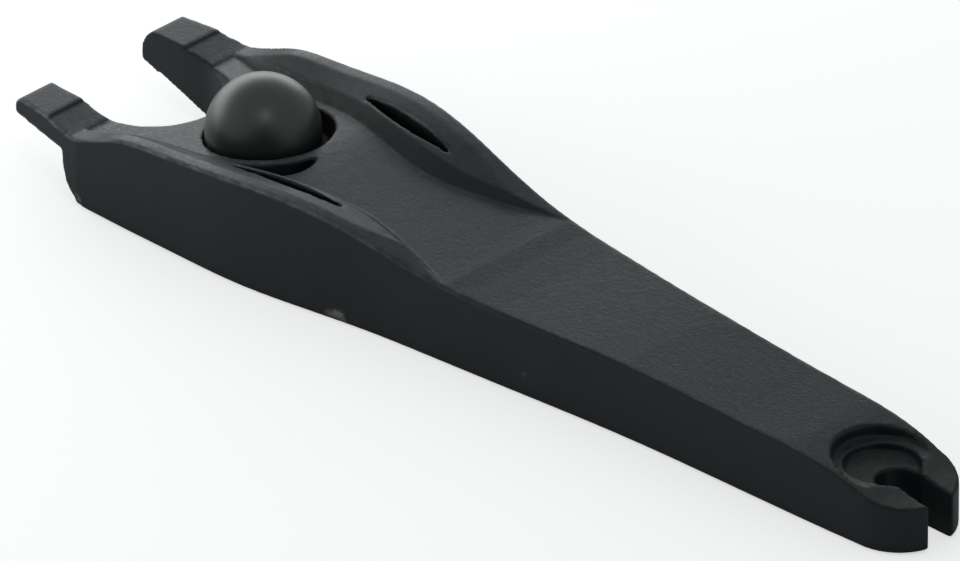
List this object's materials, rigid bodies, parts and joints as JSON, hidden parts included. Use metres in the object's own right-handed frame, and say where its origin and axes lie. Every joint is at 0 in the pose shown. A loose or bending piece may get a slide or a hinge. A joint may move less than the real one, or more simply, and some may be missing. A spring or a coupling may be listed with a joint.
{
  "type": "clutch release fork",
  "caption": "Cast clutch release fork with bearing pads on two prongs, a pressed-in pivot cup and a stepped cable seat with an open slot at the far end.",
  "frame": {"origin": "centre of the pivot ball, inside the pivot cup", "axes": "+X from the prongs towards the cable end, +Z out of the side with the pads and the dome, Y across"},
  "size_m": [0.2422, 0.0532, 0.0311],
  "materials": {
    "cast_body": "black satin paint over a sand-cast surface",
    "cup": "smooth, glossier black paint"
  },
  "bodies": {
    "root": {"fork": "cast_body", "pivot_cup": "cup"}
  },
  "joints": []
}
